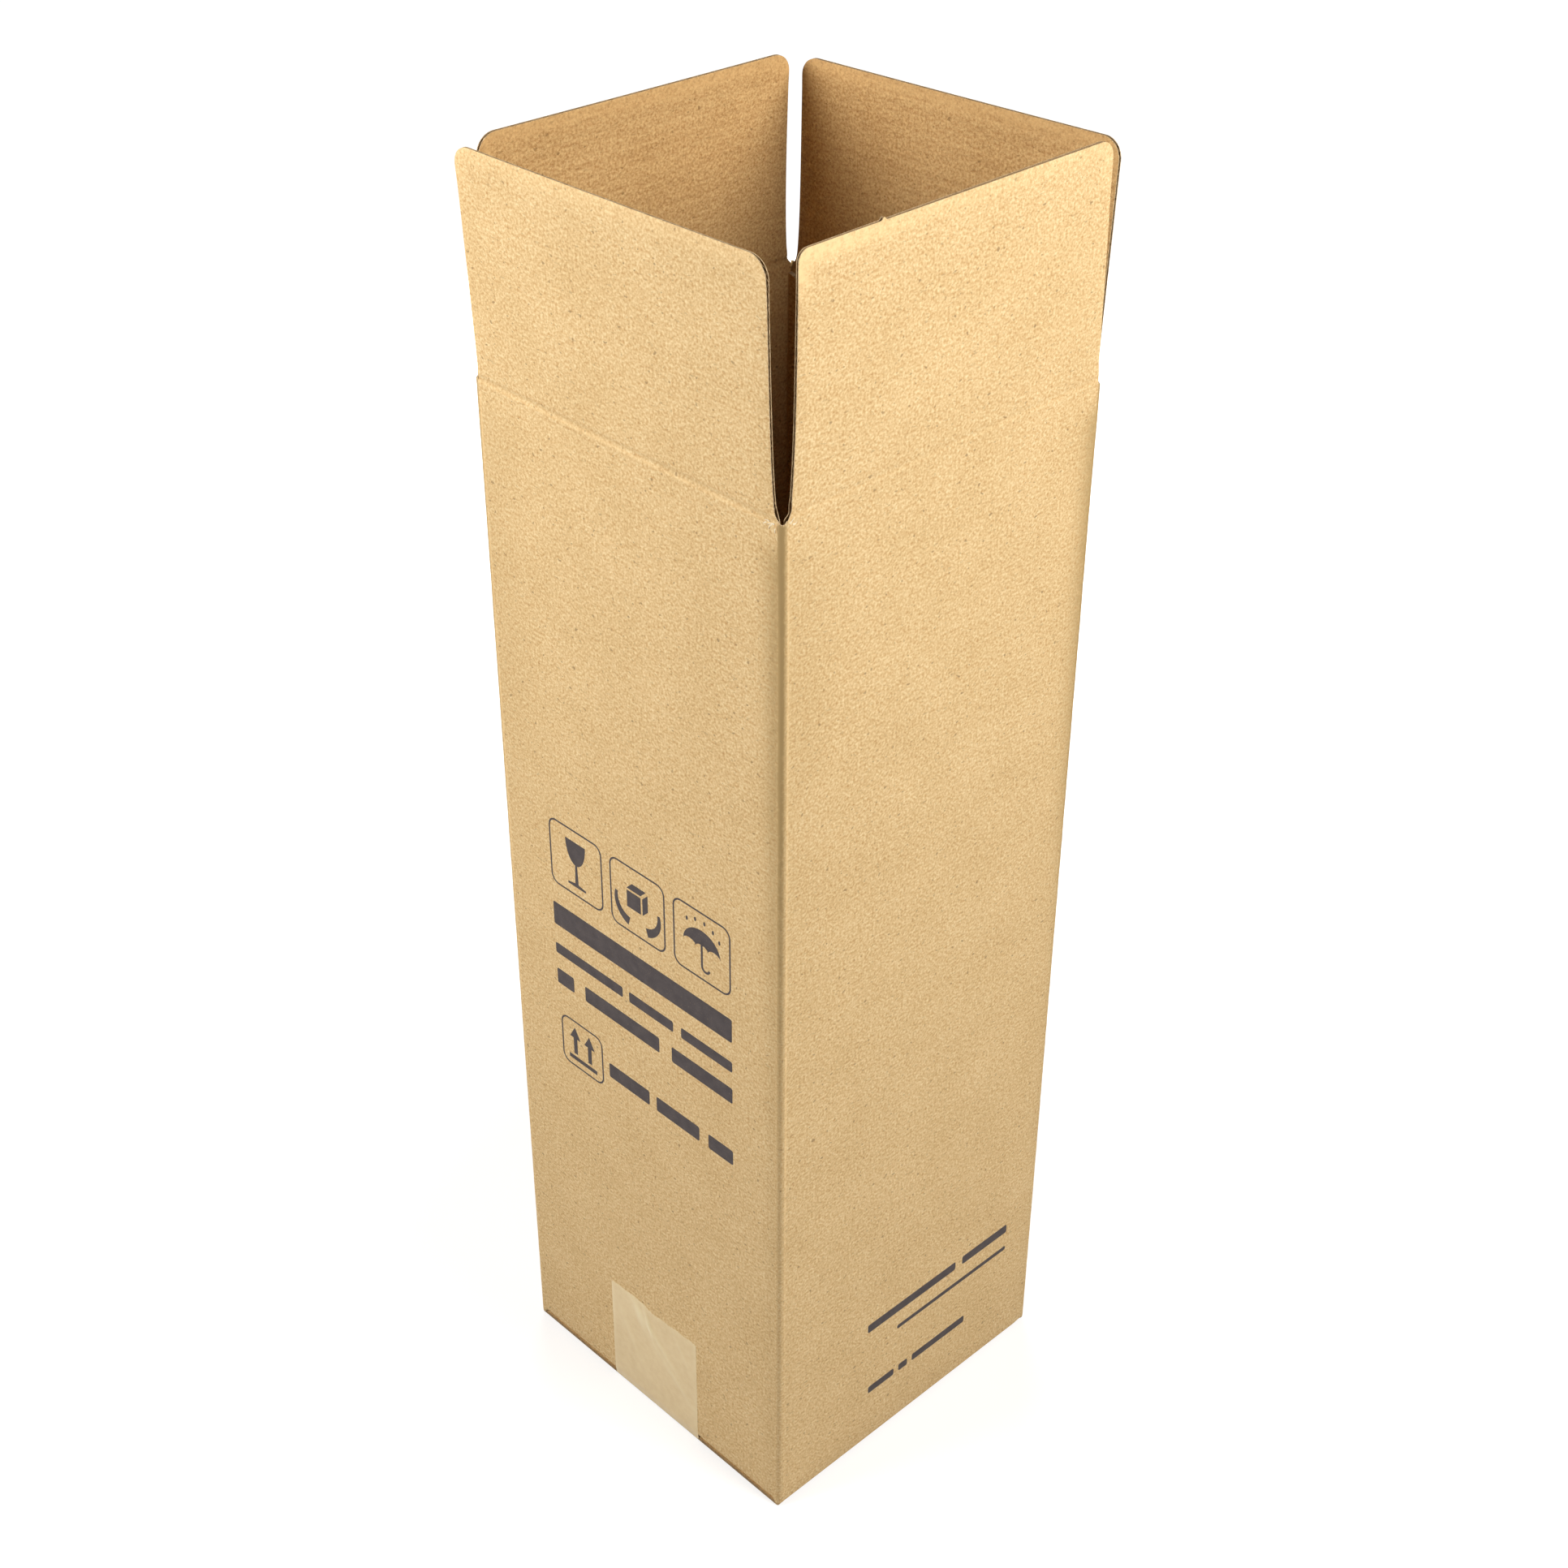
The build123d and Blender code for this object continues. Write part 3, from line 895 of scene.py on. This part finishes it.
def wall_posts(ring, sheet):
    """Tops of the corners between the flaps, up to the round foot of each slot."""
    rise = np.linspace(0, SLOT_FOOT, 91)
    for number, panel in enumerate(ring.PANELS):
        if number == ring.LAST:
            cols = ring.columns(number, FLAT_HALF, HALF)
            top = np.full(len(cols), MINOR_CREASE + RAW_POST_RISE)
        else:
            cols = ring.corner(number, FLAT_HALF, FLAT_HALF)
            from_slot = np.abs(ring.blank[cols] - (panel["blank"] + HALF))
            top = MINOR_CREASE - SLOT_DROP + np.interp(from_slot, slot_half(rise), rise)
        z = WALL_TOP + np.linspace(0, 1, 6)[:, None] * (top - WALL_TOP)
        place = np.stack([np.broadcast_to(ring.blank[cols], z.shape), z], -1)
        thick = np.linalg.norm(ring.inner[cols] - ring.level[cols], axis=1)
        thin = thick + (CRUSHED - thick) * ease(z, WALL_TOP, top)
        outer = lifted(ring.level[cols], z)
        inner = outer + thin[..., None] * ring.inward[cols]
        # Painted shade on the folds and beside them, as on the walls below
        painted_shade = ring.painted_shade[cols] + np.where(ring.on_fold[cols], ring.rubbed[cols], 0)
        sheet.shell(outer, inner, place, (OUT, IN, CUT), ring.pressed[cols], painted_shade, "lrt")


def bottom_flaps(ring, sheet):
    """Bottom flaps from the fold line under each wall to the seam."""
    n = np.linspace(SEAM_HALF - HALF, -FOLD_RADIUS, 9)[:, None]
    for number, panel in enumerate(ring.PANELS):
        u = ring.u[ring.columns(number, -panel["foot"], panel["foot"])][None, :]
        outer = on_panel(panel, u, panel["floor"], n)
        inner = on_panel(panel, u, panel["floor"] + BOARD, n)
        fold_line = panel["floor"] + FOLD_RADIUS * (1 - math.pi / 2)
        place = np.stack(np.broadcast_arrays(panel["blank"] + u, fold_line - FOLD_RADIUS - n), -1)
        sheet.shell(outer, inner, place, (OUT, IN, CUT), rims="blr")


def foot_edges(sheet):
    """Cut edges of the major bottom flaps, showing under the front and back walls."""
    n = np.linspace(SEAM_HALF - HALF, -FOOT_EDGE_INSET, 9)[:, None]
    edge = np.array((FLAT_HALF + 0.01, FOOT_EDGE - FOOT_EDGE_STEP, FOOT_EDGE))
    for panel in (RIGHT, LEFT):
        for side in (-1, 1):
            u = np.sort(side * edge)[None, :]
            outer = on_panel(panel, u, panel["floor"], n)
            inner = on_panel(panel, u, panel["floor"] + BOARD, n)
            place = np.stack(np.broadcast_arrays(panel["blank"] + u, -n - HALF), -1)
            # The cut edges take the darker flute-paper finish, which is painted shade in the gap under the
            # walls
            sheet.shell(outer, inner, place, (OUT, IN, FLUTE))


def glue_tab(sheet):
    """The left wall's edge turns in and runs along the inside of the back wall."""
    bend = np.radians(np.linspace(90, 0, 7))
    seat = HALF - BOARD - TAB_SEAT
    centre = np.array((-FLAT_HALF, seat - FOLD_RADIUS, 0))
    ray = np.stack([-np.cos(bend), np.sin(bend), 0 * bend], -1)
    run = -FLAT_HALF + np.linspace(TAB_WIDTH, 0, 6)[:-1]
    flat_out = np.stack([run, 0 * run + seat, 0 * run], -1)
    flat_in = np.stack([run, 0 * run + seat - BOARD, 0 * run], -1)
    tab_out = np.concatenate([flat_out, centre + FOLD_RADIUS * ray])
    tab_in = np.concatenate([flat_in, centre + (FOLD_RADIUS - BOARD) * ray])
    taper = np.concatenate([TAB_TAPER * (run + FLAT_HALF) / TAB_WIDTH, 0 * bend])
    share = np.linspace(0, 1, 12)[:, None]
    z = (TAB_FOOT + taper) * (1 - share) + (TAB_TOP - taper) * share
    along = -PANEL - HALF - TAB_WIDTH + TAB_STRIDE * np.arange(len(taper))[None, :]
    place = np.stack(np.broadcast_arrays(along, z), -1)
    sheet.shell(lifted(tab_out, z), lifted(tab_in, z), place, (OUT, IN, CUT))


def carton_walls():
    sheet, ring = Sheet(), WallRing()
    for part in (wall_faces, wall_posts, bottom_flaps):
        part(ring, sheet)
    foot_edges(sheet)
    glue_tab(sheet)
    return sheet.piece("carton_walls", BOARD_FINISHES)


# Torn fibres beside the near slot: place along the panel, height, direction, length and lift of the tip
FRONT_FIBRES = (
    (62.0, 384.2, 170, 2.6, 0.2),
    (61.2, 383.9, 205, 2.0, 0.2),
    (60.2, 384.4, 150, 1.6, 0.2),
    (62.4, 383.4, 240, 1.6, 0.1),
    (59.0, 383.8, 190, 1.5, 0.1),
)
RIGHT_FIBRES = (
    (-62.3, 384.6, 20, 1.8, 0.1),
    (-61.2, 384.0, -15, 1.6, 0.1),
)
FIBRE_WIDTH = 0.5
FIBRE_HALF = 0.05


def sliver(sheet, panel, u, z, turn_deg, length, lift):
    """A torn paper fibre bundle: a thin tapered strip that stands off the panel at its tip."""
    share = np.linspace(0, 1, 6)[:, None]
    side = np.array((0.5, -0.5))[None, :] * FIBRE_WIDTH * (1 - 0.8 * share)
    way = math.radians(turn_deg) + 0.5 * share
    across = u + length * share * np.cos(way) - side * np.sin(way)
    height = z + length * share * np.sin(way) + side * np.cos(way)
    stand = FIBRE_HALF + lift * share ** 2
    outer = on_panel(panel, across, height, stand + FIBRE_HALF)
    inner = on_panel(panel, across, height, stand - FIBRE_HALF)
    sheet.shell(outer, inner, np.stack([panel["blank"] + across, height], -1), (0, 0, 0))


def torn_fibres():
    sheet = Sheet()
    for panel, fibres in ((FRONT, FRONT_FIBRES), (RIGHT, RIGHT_FIBRES)):
        for fibre in fibres:
            sliver(sheet, panel, *fibre)
    return sheet.piece("torn_fibres", [TORN_PALE])


walls, fibres = carton_walls(), torn_fibres()
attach(fibres, "carton")
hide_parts("carton_body")
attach(walls, "carton")


# Wrinkles of the tape: place across and along it, direction in degrees, width, height and length
WRINKLES = (
    (-7, 7, 62, 2.2, 0.30, 6),
    (-2.5, 8, 70, 0.9, 0.26, 8),
    (3, 14, 42, 1.2, 0.20, 13),
    (10, 24, 40, 1.4, 0.16, 14),
    (-13, 20, 60, 1.6, 0.10, 12),
    (15, 9, 60, 0.9, 0.12, 7),
    (-6, TAPE_LENGTH - 12, -50, 1.2, 0.18, 12),
    (9, TAPE_LENGTH - 18, 58, 1.2, 0.16, 13),
)


def tape_stations():
    """Stations along the tape, close together on the panels and in its two bends."""
    spans = (
        (0, TAPE_CLIMB, 70), (TAPE_CLIMB, UNDER_START, 7), (UNDER_START, UNDER_END, 30),
        (UNDER_END, BACK_START, 7), (BACK_START, TAPE_LENGTH, 60),
    )
    return np.concatenate([[0]] + [np.linspace(first, last, count)[1:] for first, last, count in spans])


def torn_end(x, phase):
    """How far the tape's end is torn back: a slow sway with the small teeth of a cutter."""
    sway = 0.35 * np.sin(x * 0.21 + phase) + 0.18 * np.sin(x * 0.83 + 2.1 * phase)
    return sway + 0.7 * np.abs(((x * 0.7 + phase) % 1) - 0.5)


def tape_path(u, s):
    """Middle of the film and its outward direction at u across the tape and s along it."""
    down = np.clip((s - TAPE_CLIMB) / TAPE_QUARTER, 0, 1) * math.pi / 2
    up = np.clip((s - UNDER_END) / TAPE_QUARTER, 0, 1) * math.pi / 2
    run = np.clip(s - UNDER_START, 0, TAPE_FLAT)
    y = -TAPE_SIDE + TAPE_BEND * (1 - np.cos(down)) + run + TAPE_BEND * np.sin(up)
    z = TAPE_RISE - np.minimum(s, TAPE_CLIMB) - TAPE_BEND * np.sin(down) + TAPE_BEND * (1 - np.cos(up))
    z = z + np.maximum(s - BACK_START, 0) + TAPE_FILM / 2
    y = y * (1 - TAPE_HUG / TAPE_SIDE * (1 - ease(z, 0.5, 4.5)))
    normal = np.stack([0 * u, -np.cos(down) * (up == 0) + np.sin(up), -np.sin(down) * np.cos(up)], -1)
    return np.stack([u + TAPE_MIDDLE, y, z], -1), normal


def wrinkle_height(u, s):
    height = 0 * u
    for u0, s0, angle_deg, width, high, span in WRINKLES:
        a = math.radians(angle_deg)
        off = (u - u0) * math.sin(a) - (s - s0) * math.cos(a)
        way = (u - u0) * math.cos(a) + (s - s0) * math.sin(a)
        height = height + high * bump_at(off, 0, width) * bump_at(way, 0, span)
    return height


def packing_tape():
    """One strip of film: up the front panel, under the seam and up the back panel, torn off at both ends."""
    across = np.linspace(-TAPE_HALF, TAPE_HALF, 91)
    u, s = np.meshgrid(across, tape_stations())
    fade = TAPE_CLIMB * 0.9
    step = 0.9 * ease(across, -4.5, -2.5) * (1 - ease(across, -2.0, 9))
    head = (torn_end(across, 0.4) + step) * (1 - ease(s, 0, fade))
    tail = torn_end(across, 2.9) * ease(s, TAPE_LENGTH - fade, TAPE_LENGTH)
    s = s + head - tail

    middle, normal = tape_path(u, s)
    wrinkle = wrinkle_height(u, s)
    on_face = (1 - ease(s, TAPE_CLIMB - 6, TAPE_CLIMB)) + ease(s, BACK_START, BACK_START + 6)
    ends = np.minimum(s - head, TAPE_LENGTH - tail - s)
    edge = np.maximum(np.minimum(TAPE_HALF - np.abs(u), ends), 0)
    stuck = np.exp(-edge / 0.6)
    lift = wrinkle * np.clip(on_face, 0, 1) * (1 - stuck)
    thick = TAPE_FILM / 2
    outside = middle + normal * (lift + thick * (1 - 1.3 * stuck))[..., None]
    inside = middle + normal * (0.9 * lift - thick * (0.6 + 0.8 * stuck))[..., None]
    # Painted highlight along the edges and on the wrinkles
    pressed = 0.45 * np.exp(-edge / 0.8) + 0.8 * np.clip(wrinkle / 0.35, 0, 1)
    sheet = Sheet()
    sheet.shell(outside[::-1], inside[::-1], np.stack([u, s], -1)[::-1], (0, 0, 0), pressed[::-1])
    return sheet.piece("packing_tape", [TAPE_TAN], smooth_deg=50.0)


tape = packing_tape()
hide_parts("bottom_tape")
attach(tape, "carton")


class PanelPrint:
    """Ink on one panel: thin closed plates, drawn in millimetres along and up the panel."""

    def __init__(self, panel):
        self.panel, self.sheet = panel, Sheet()

    def plate(self, outline, hole=None):
        """A filled outline, counterclockwise from outside, or a ring if a hole of as many points is given."""
        loops = [np.asarray(loop, float) for loop in (outline, hole) if loop is not None]
        layers = [(loop, n) for loop in loops for n in (INK_FILM, -INK_ROOT)]
        points = [on_panel(self.panel, loop[:, 0], loop[:, 1], n) for loop, n in layers]
        blank = [loop + (self.panel["blank"], 0) for loop, n in layers]
        count = len(outline)
        face, root, hole_face, hole_root = (count * layer for layer in range(4))
        sides = [(i, (i + 1) % count) for i in range(count)]
        faces = [(face + i, root + i, root + j, face + j) for i, j in sides]
        if hole is None:
            faces += [tuple(range(face, face + count)), tuple(reversed(range(root, root + count)))]
        else:
            faces += [(face + i, face + j, hole_face + j, hole_face + i) for i, j in sides]
            faces += [(root + j, root + i, hole_root + i, hole_root + j) for i, j in sides]
            faces += [(hole_root + i, hole_face + i, hole_face + j, hole_root + j) for i, j in sides]
        self.sheet.loose(np.concatenate(points), np.concatenate(blank), faces, 0)

    def shapes(self, middle, outlines):
        for outline in outlines:
            self.plate(np.asarray(outline, float) + middle)

    def frame(self, low, high):
        hole = rounded(low + INK_LINE, high - INK_LINE, FRAME_CORNER - INK_LINE)
        self.plate(rounded(low, high, FRAME_CORNER), hole)

    def bars(self, low, high, shares):
        """A line of plain bars between two corners, each from one share of its length to another."""
        (left, foot), (right, top) = low, high
        run = right - left
        for first, last in shares:
            self.plate(rounded((left + run * first, foot), (left + run * last, top), BAR_CORNER))

    def piece(self, name):
        return self.sheet.piece(name, [INK])


def arc(middle, radius, first_deg, last_deg, steps=8):
    """Points along a round arc, or an oval one where radius is a pair."""
    turn = np.radians(np.linspace(first_deg, last_deg, steps + 1))
    wide, tall = np.broadcast_to(radius, 2)
    return np.stack([middle[0] + wide * np.cos(turn), middle[1] + tall * np.sin(turn)], -1)


def rounded(low, high, radius):
    """Upright rectangle with rounded corners."""
    (left, foot), (right, top) = low, high
    corners = (
        (right - radius, foot + radius, -90), (right - radius, top - radius, 0),
        (left + radius, top - radius, 90), (left + radius, foot + radius, 180),
    )
    return np.concatenate([arc((u, z), radius, start, start + 90, 6) for u, z, start in corners])


def stroke(line, width):
    """A line given an even or changing width."""
    line = np.asarray(line, float)
    way = np.gradient(line, axis=0)
    way /= np.linalg.norm(way, axis=1, keepdims=True)
    side = np.stack([way[:, 1], -way[:, 0]], -1) * np.broadcast_to(width, len(line))[:, None] / 2
    return np.concatenate([line + side, (line - side)[::-1]])


def mirrored(outline):
    return (np.asarray(outline, float) * (-1, 1))[::-1]


def goblet():
    """Stemmed glass, from the foot up to the rim and down again."""
    bowl = arc((0, 8.4), (4.9, 9.2), -84, 0, 10)
    half = np.concatenate([[(4.4, -9.4), (4.4, -8.6), (0.8, -8.0)], bowl])
    return [np.concatenate([half, mirrored(half)])]


def box_on_hands():
    """A cube seen from one side above two cupped hands."""
    front = [(-5.0, -3.2), (1.6, -3.2), (1.6, 3.2), (-5.0, 3.2)]
    lid = [(-5.0, 4.0), (1.6, 4.0), (4.2, 6.6), (-2.4, 6.6)]
    side = [(2.4, -3.2), (5.0, -0.6), (5.0, 5.8), (2.4, 3.2)]
    hand = stroke(arc((-2.6, -1.4), 7.6, 165, 258, 10), np.linspace(1.2, 3.4, 11))
    return [front, lid, side, hand, mirrored(hand)]


def umbrella():
    """Open umbrella with a hooked handle under falling drops."""
    reach, eaves = 8.4, -1.0
    canopy = [arc((0, eaves), (reach, 7.0), 0, 180, 16)]
    for rib in (-1, 0, 1):
        canopy.append(arc((rib * reach * 2 / 3, eaves), (reach / 3, 1.5), 180, 0, 6)[1:-1])
        canopy.append([(rib * reach * 2 / 3 + reach / 3, eaves)])
    hook = arc((1.7, -7.6), 1.7, 180, 350, 8)
    handle = np.concatenate([[(0, eaves + 1.45), (0, -4.0), (0, -7.2)], hook])
    falling = ((-6.6, 7.4), (-2.8, 9.0), (1.4, 9.2), (5.2, 8.0), (8.0, 5.6))
    drops = [arc(place, (0.5, 0.85), 0, 315, 7) for place in falling]
    return [np.concatenate(canopy)[:-1], stroke(handle, 0.9)] + drops


def arrows_up():
    """Two arrows standing on a bar."""
    shaft, head, neck, foot, tip, apart = 0.95, 2.7, 2.4, -4.4, 7.2, 3.7
    arrow = np.array([
        (-shaft, foot), (shaft, foot), (shaft, neck), (head, neck), (0, tip), (-head, neck), (-shaft, neck),
    ])
    bar = [(-7.2, -7.2), (7.2, -7.2), (7.2, -5.5), (-7.2, -5.5)]
    return [arrow - (apart, 0), arrow + (apart, 0), bar]


def front_print():
    """Handling marks as plain pictograms in frames, with plain bars for the lines under and beside them."""
    ink = PanelPrint(FRONT)
    left, right, side, step = -42.2, 43.6, 26.0, 29.8
    for number, mark in enumerate((goblet, box_on_hands, umbrella)):
        low = np.array((left + number * step, 214.6))
        ink.frame(low, low + side)
        ink.shapes(low + side / 2, mark())
    low, size = np.array((-41.6, 139.6)), np.array((21.4, 20.4))
    ink.frame(low, low + size)
    ink.shapes(low + size / 2, arrows_up())
    ink.bars((left, 197.2), (right, 206.4), ((0, 1),))
    ink.bars((left, 185.2), (right, 189.4), ((0, 0.394), (0.431, 0.679), (0.723, 1)))
    ink.bars((left, 172.4), (right, 178.6), ((0, 0.10), (0.167, 0.597), (0.667, 1)))
    ink.bars((-17.0, 146.4), (right, 152.4), ((0, 0.334), (0.392, 0.736), (0.808, 1)))
    return ink.piece("front_print")


def side_print():
    """Three plain lines low on the right panel."""
    ink = PanelPrint(RIGHT)
    ink.bars((-22.0, 54.8), (50.0, 58.6), ((0, 0.62), (0.67, 1)))
    ink.bars((-7.0, 46.2), (50.0, 48.0), ((0, 1),))
    ink.bars((-21.0, 24.0), (29.0, 27.2), ((0, 0.26), (0.31, 0.40), (0.45, 1)))
    return ink.piece("side_print")


for printed in (front_print(), side_print()):
    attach(printed, "carton")


# Studio, in metres
FLOOR_GLOW = 0.60
FLOOR_LEVEL = -0.0002
FLOOR_REACH = 6.0
ROOM_LIGHT = 0.04
SOFTBOX_WHITE = (1.0, 0.985, 0.96)


def straight_rays(tree):
    """1 for the rays by which the camera sees the white sweep, directly or mirrored, and 0 for its light."""
    path = tree.nodes.new("ShaderNodeLightPath")
    seen = path.outputs["Is Camera Ray"]
    for ray in ("Is Glossy Ray", "Is Transmission Ray"):
        seen = calc(tree, "MAXIMUM", seen, path.outputs[ray])
    return seen


def studio_paper():
    """White paper that glows where it is seen, less round the box."""
    paper = bpy.data.materials.new("studio_paper")
    paper.use_nodes = True
    tree = paper.node_tree
    shader = tree.nodes["Principled BSDF"]
    shader.inputs["Base Color"].default_value = (0.50, 0.50, 0.50, 1)
    shader.inputs["Roughness"].default_value = 0.9
    shader.inputs["Specular IOR Level"].default_value = 0.0
    shader.inputs["Emission Color"].default_value = (1, 1, 1, 1)
    place = tree.nodes.new("ShaderNodeTexCoord")
    ball = tree.nodes.new("ShaderNodeTexGradient")
    ball.gradient_type = "SPHERICAL"
    sweep = tree.nodes.new("ShaderNodeValToRGB")
    tree.links.new(place.outputs["Object"], ball.inputs["Vector"])
    tree.links.new(ball.outputs["Fac"], sweep.inputs["Fac"])
    for element, position, level in zip(sweep.color_ramp.elements, (0.45, 0.85), (1.0, FLOOR_GLOW)):
        element.position = position
        element.color = (level, level, level, 1)
    glow = calc(tree, "MULTIPLY", straight_rays(tree), sweep.outputs["Color"])
    tree.links.new(glow, shader.inputs["Emission Strength"])
    return paper


def studio_floor():
    mesh = bpy.data.meshes.new("studio_floor")
    corners = [(-FLOOR_REACH, -FLOOR_REACH), (FLOOR_REACH, -FLOOR_REACH)]
    corners += [(FLOOR_REACH, FLOOR_REACH), (-FLOOR_REACH, FLOOR_REACH)]
    mesh.from_pydata([(x, y, FLOOR_LEVEL) for x, y in corners], [], [(0, 1, 2, 3)])
    mesh.materials.append(studio_paper())
    floor = bpy.data.objects.new("studio_floor", mesh)
    bpy.context.scene.collection.objects.link(floor)


def studio_world():
    """A little light from all round, and plain white wherever the camera sees past the floor."""
    world = bpy.data.worlds.new("studio_world")
    bpy.context.scene.world = world
    world.use_nodes = True
    tree = world.node_tree
    soft, white = tree.nodes["Background"], tree.nodes.new("ShaderNodeBackground")
    for light, strength in ((soft, ROOM_LIGHT), (white, 1.0)):
        light.inputs["Color"].default_value = (1, 1, 1, 1)
        light.inputs["Strength"].default_value = strength
    mix = tree.nodes.new("ShaderNodeMixShader")
    tree.links.new(straight_rays(tree), mix.inputs["Fac"])
    tree.links.new(soft.outputs["Background"], mix.inputs[1])
    tree.links.new(white.outputs["Background"], mix.inputs[2])
    tree.links.new(mix.outputs["Shader"], tree.nodes["World Output"].inputs["Surface"])


def softbox(name, place, aim_height, size, watts):
    """A round softbox that looks at the box's middle line."""
    lamp = bpy.data.lights.new(name, "AREA")
    lamp.shape = "DISK"
    lamp.size = size
    lamp.energy = watts
    lamp.color = SOFTBOX_WHITE
    light = bpy.data.objects.new(name, lamp)
    light.location = place
    aim = Vector((0, 0, aim_height)) - Vector(place)
    light.rotation_euler = aim.to_track_quat("-Z", "Y").to_euler()
    bpy.context.scene.collection.objects.link(light)


def photo_camera():
    """Camera at the photograph's angle; its picture is taken to be 1932 pixels square."""
    frame_px, focal_px, sensor_mm = 1932.0, 2978.9, 36.0
    azimuth, elevation, roll = math.radians(45.788), math.radians(33.737), math.radians(0.286)
    offset = Vector((-0.506, -201.75, 920.62)) * MM
    flat = math.cos(elevation)
    forward = Vector((-math.sin(azimuth) * flat, math.cos(azimuth) * flat, -math.sin(elevation)))
    level = forward.cross(Vector((0, 0, 1))).normalized()
    lift = level.cross(forward)
    right = math.cos(roll) * level + math.sin(roll) * lift
    up = -math.sin(roll) * level + math.cos(roll) * lift
    turn = Matrix((right, up, -forward)).transposed()
    place = -(right * offset.x + up * offset.y + forward * offset.z)
    lens = bpy.data.cameras.new("photo_camera")
    lens.sensor_fit = "HORIZONTAL"
    lens.sensor_width = sensor_mm
    lens.lens = sensor_mm * focal_px / frame_px
    lens.clip_start = 0.01
    lens.clip_end = 50.0
    camera = bpy.data.objects.new("photo_camera", lens)
    camera.matrix_world = Matrix.Translation(place) @ turn.to_4x4()
    bpy.context.scene.collection.objects.link(camera)
    bpy.context.scene.camera = camera


studio_floor()
studio_world()
softbox("left_softbox", (-0.31, -0.66, 0.70), aim_height=0.35, size=0.45, watts=7.6)
softbox("right_softbox", (0.73, 0.20, 0.82), aim_height=0.35, size=0.50, watts=10.2)
softbox("back_softbox", (-0.80, 0.70, 0.30), aim_height=0.25, size=0.60, watts=8.0)
photo_camera()
bpy.context.scene.view_settings.view_transform = "Standard"
